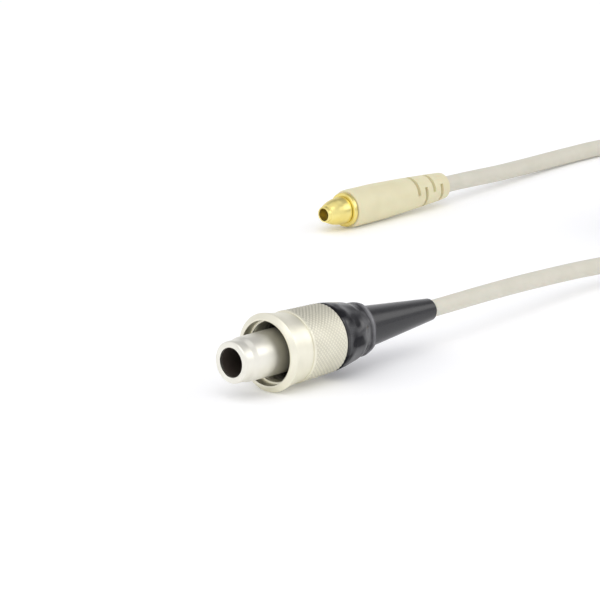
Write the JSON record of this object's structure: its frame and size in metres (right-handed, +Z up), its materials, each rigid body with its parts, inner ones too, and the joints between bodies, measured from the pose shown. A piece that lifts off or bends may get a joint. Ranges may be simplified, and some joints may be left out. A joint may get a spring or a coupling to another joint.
{
  "type": "headset microphone cable",
  "caption": "Headset microphone cable: nickel plug with knurled coupling nut, black collar and boot, thin beige cable, and a small gold snap connector in a slotted sleeve.",
  "frame": {"origin": "on the surface the part lies on, under the middle of the plug's length", "axes": "+X along the plug's axis, from its nose towards its boot; +Z up"},
  "size_m": [0.1263, 0.0561, 0.0094],
  "materials": {
    "nickel": "satin nickel plate",
    "gold": "polished gold plate",
    "brass": "machined",
    "black_anodised": "satin black",
    "insulator_black": "moulded",
    "boot_rubber": "matt",
    "ptfe": "smooth",
    "sleeve_beige": "soft moulded",
    "cable_jacket": "smooth, soft",
    "core_insulation": "smooth",
    "copper": "tinned strands",
    "tie_fabric": "hook-and-loop tape"
  },
  "bodies": {
    "plug_body": {"plug_shell": "nickel", "contact_insulator": "insulator_black", "contact_pin_1": "gold", "contact_pin_2": "gold", "contact_pin_3": "gold", "half_shell_left": "nickel", "half_shell_right": "nickel", "cable_collet": "brass", "clamp_collar": "black_anodised", "strain_relief_boot": "boot_rubber", "core_wire": "core_insulation", "shield_wire": "copper", "cable_end_in_plug": "cable_jacket", "mating_shell": "gold", "flange_ring": "gold", "dielectric_bead": "ptfe", "centre_contact": "gold", "crimp_ferrule": "brass", "moulded_sleeve": "sleeve_beige", "core_wire_mic_side": "core_insulation", "cable_end_in_sleeve": "cable_jacket", "cable_plug_side": "cable_jacket", "cable_coil": "cable_jacket", "cable_mic_side": "cable_jacket", "coil_tie_1": "tie_fabric", "coil_tie_2": "tie_fabric"},
    "nut_ring": {"nut_retaining_ring": "nickel"},
    "nut": {"coupling_nut": "nickel"}
  },
  "joints": [
    {"name": "nut_play", "type": "slide", "parent": "plug_body", "child": "nut_ring", "axis": [-1, 0, 0], "range_m": [0, 0.0008]},
    {"name": "nut_spin", "type": "hinge", "parent": "nut_ring", "child": "nut", "pos_m": [-0.0027, 0, 0.00465], "axis": [1, 0, 0], "continuous": true}
  ]
}
